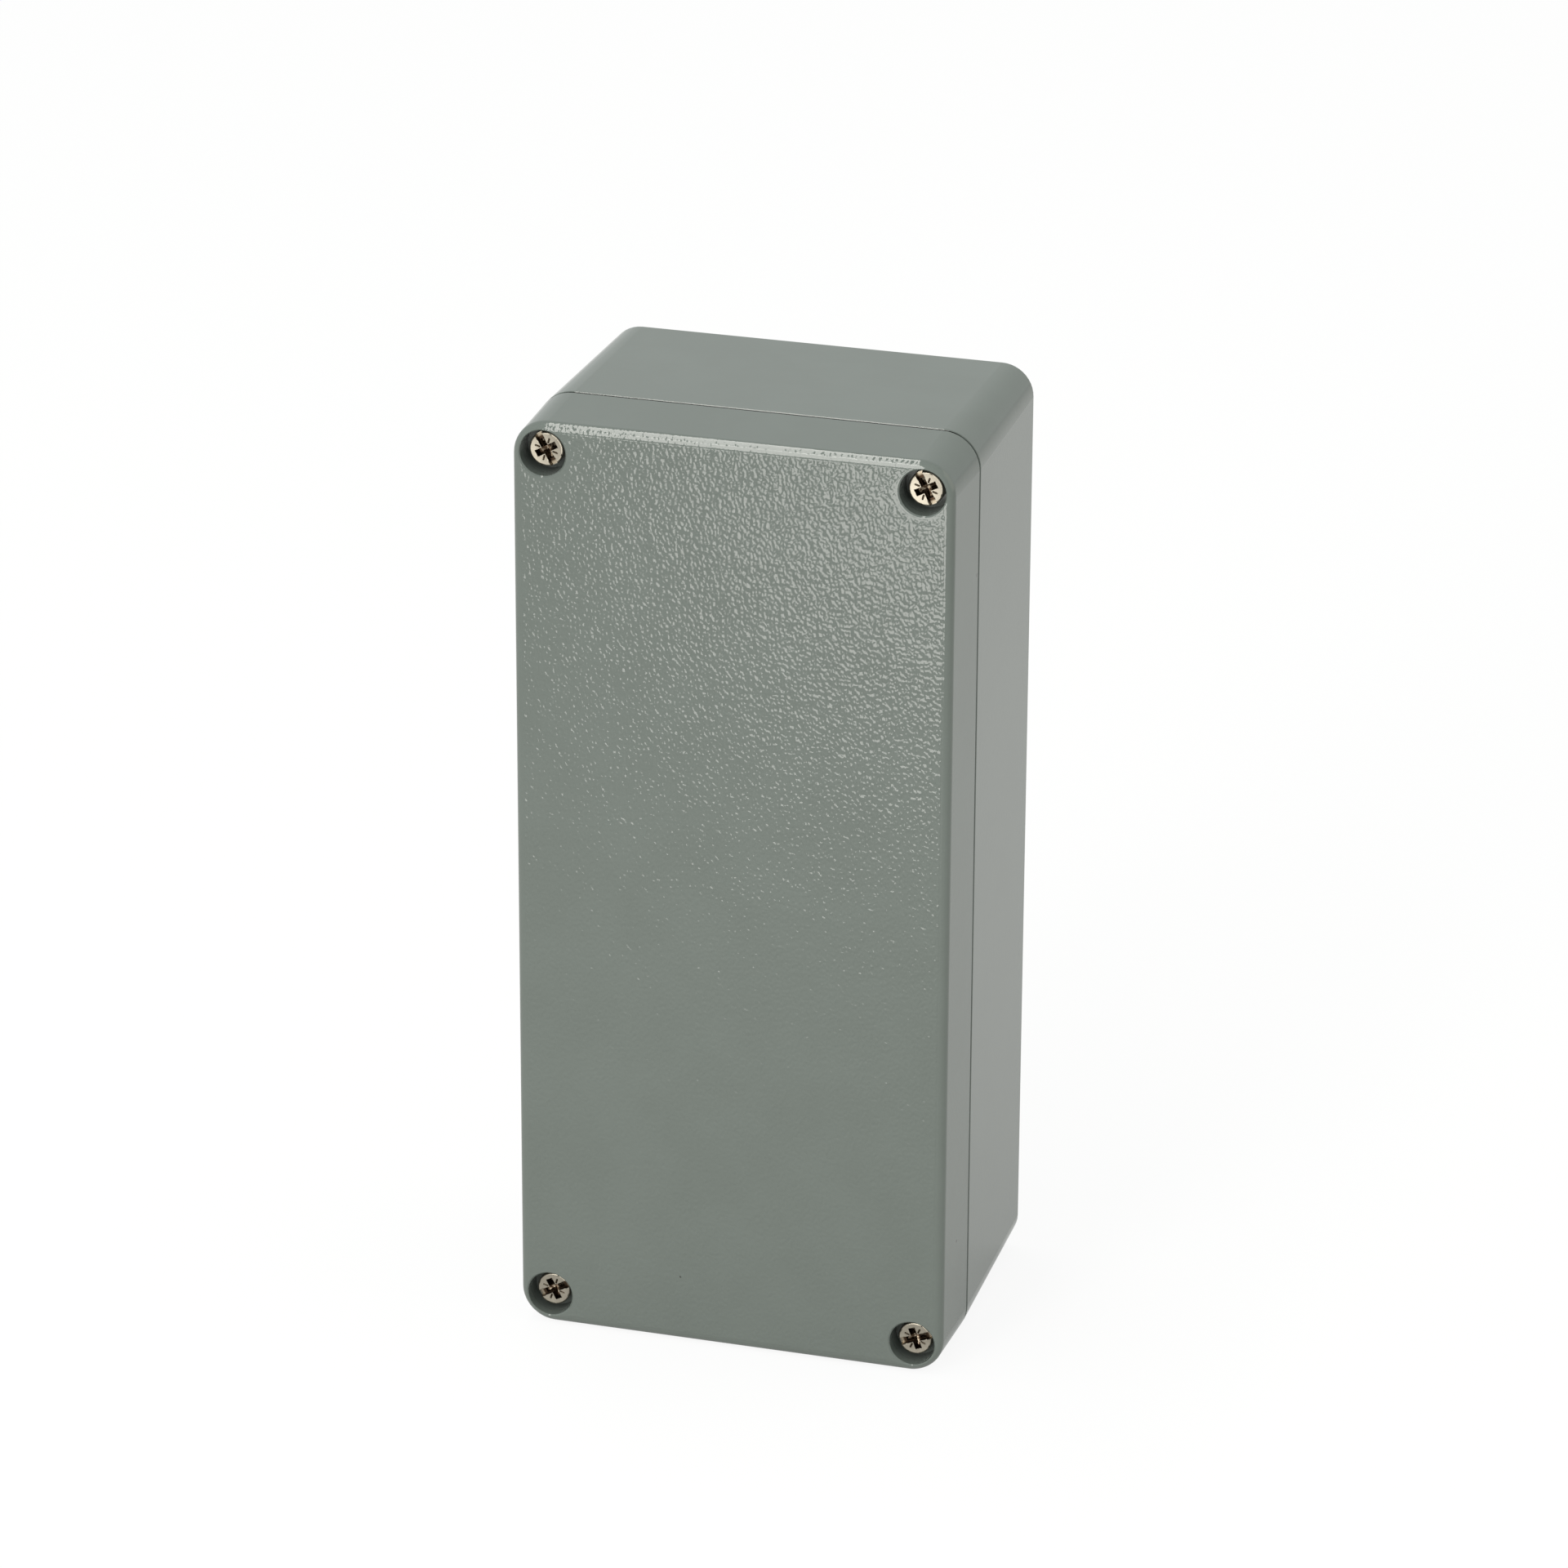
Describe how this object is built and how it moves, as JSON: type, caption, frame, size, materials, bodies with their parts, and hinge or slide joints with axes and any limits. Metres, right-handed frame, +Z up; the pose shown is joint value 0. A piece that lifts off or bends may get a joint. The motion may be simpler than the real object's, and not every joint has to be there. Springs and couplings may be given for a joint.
{
  "type": "die cast aluminium box",
  "caption": "Powder-coated die-cast aluminium box: deep base, gasketed lid held by sunk captive corner screws, fixing holes hidden under the lid.",
  "frame": {"origin": "bottom centre of the closed box, standing upright on its short end", "axes": "+Z up along the long side, lid towards -Y, back face towards +Y, +X to the right as seen from the lid's side"},
  "size_m": [0.0804, 0.0564, 0.175],
  "materials": {
    "powder_coated_casting": "matte",
    "gasket_rubber": "matte",
    "stainless_steel": "satin",
    "ring_plastic": "matte",
    "plated_steel": "satin"
  },
  "bodies": {
    "base": {"enclosure_base": "powder_coated_casting", "base_earth_screw": "plated_steel", "base_earth_spring_washer": "plated_steel", "base_earth_plain_washer": "plated_steel"},
    "lid": {"enclosure_lid": "powder_coated_casting", "lid_gasket": "gasket_rubber", "lid_earth_screw": "plated_steel", "lid_earth_spring_washer": "plated_steel", "lid_earth_plain_washer": "plated_steel"},
    "ring_top_left": {"retaining_ring_top_left": "ring_plastic"},
    "screw_top_left": {"lid_screw_top_left": "stainless_steel"},
    "ring_top_right": {"retaining_ring_top_right": "ring_plastic"},
    "screw_top_right": {"lid_screw_top_right": "stainless_steel"},
    "ring_bottom_left": {"retaining_ring_bottom_left": "ring_plastic"},
    "screw_bottom_left": {"lid_screw_bottom_left": "stainless_steel"},
    "ring_bottom_right": {"retaining_ring_bottom_right": "ring_plastic"},
    "screw_bottom_right": {"lid_screw_bottom_right": "stainless_steel"}
  },
  "joints": [
    {"name": "lid_lift_off", "type": "slide", "parent": "base", "child": "lid", "axis": [0, -1, 0], "range_m": [0, 0.05]},
    {"name": "screw_rise_top_left", "type": "slide", "parent": "lid", "child": "ring_top_left", "axis": [0, -1, 0], "range_m": [0, 0.0063]},
    {"name": "screw_turn_top_left", "type": "hinge", "parent": "ring_top_left", "child": "screw_top_left", "pos_m": [-0.03425, -0.02215, 0.16895], "axis": [0, -1, 0], "range_deg": [0, 3240]},
    {"name": "screw_rise_top_right", "type": "slide", "parent": "lid", "child": "ring_top_right", "axis": [0, -1, 0], "range_m": [0, 0.0063]},
    {"name": "screw_turn_top_right", "type": "hinge", "parent": "ring_top_right", "child": "screw_top_right", "pos_m": [0.03425, -0.02215, 0.16895], "axis": [0, -1, 0], "range_deg": [0, 3240]},
    {"name": "screw_rise_bottom_left", "type": "slide", "parent": "lid", "child": "ring_bottom_left", "axis": [0, -1, 0], "range_m": [0, 0.0063]},
    {"name": "screw_turn_bottom_left", "type": "hinge", "parent": "ring_bottom_left", "child": "screw_bottom_left", "pos_m": [-0.03425, -0.02215, 0.00605], "axis": [0, -1, 0], "range_deg": [0, 3240]},
    {"name": "screw_rise_bottom_right", "type": "slide", "parent": "lid", "child": "ring_bottom_right", "axis": [0, -1, 0], "range_m": [0, 0.0063]},
    {"name": "screw_turn_bottom_right", "type": "hinge", "parent": "ring_bottom_right", "child": "screw_bottom_right", "pos_m": [0.03425, -0.02215, 0.00605], "axis": [0, -1, 0], "range_deg": [0, 3240]}
  ],
  "couplings": [
    {"joint": "screw_turn_top_left", "follows": "screw_rise_top_left", "rad_per_m": 8976},
    {"joint": "screw_turn_top_right", "follows": "screw_rise_top_right", "rad_per_m": 8976},
    {"joint": "screw_turn_bottom_left", "follows": "screw_rise_bottom_left", "rad_per_m": 8976},
    {"joint": "screw_turn_bottom_right", "follows": "screw_rise_bottom_right", "rad_per_m": 8976}
  ]
}
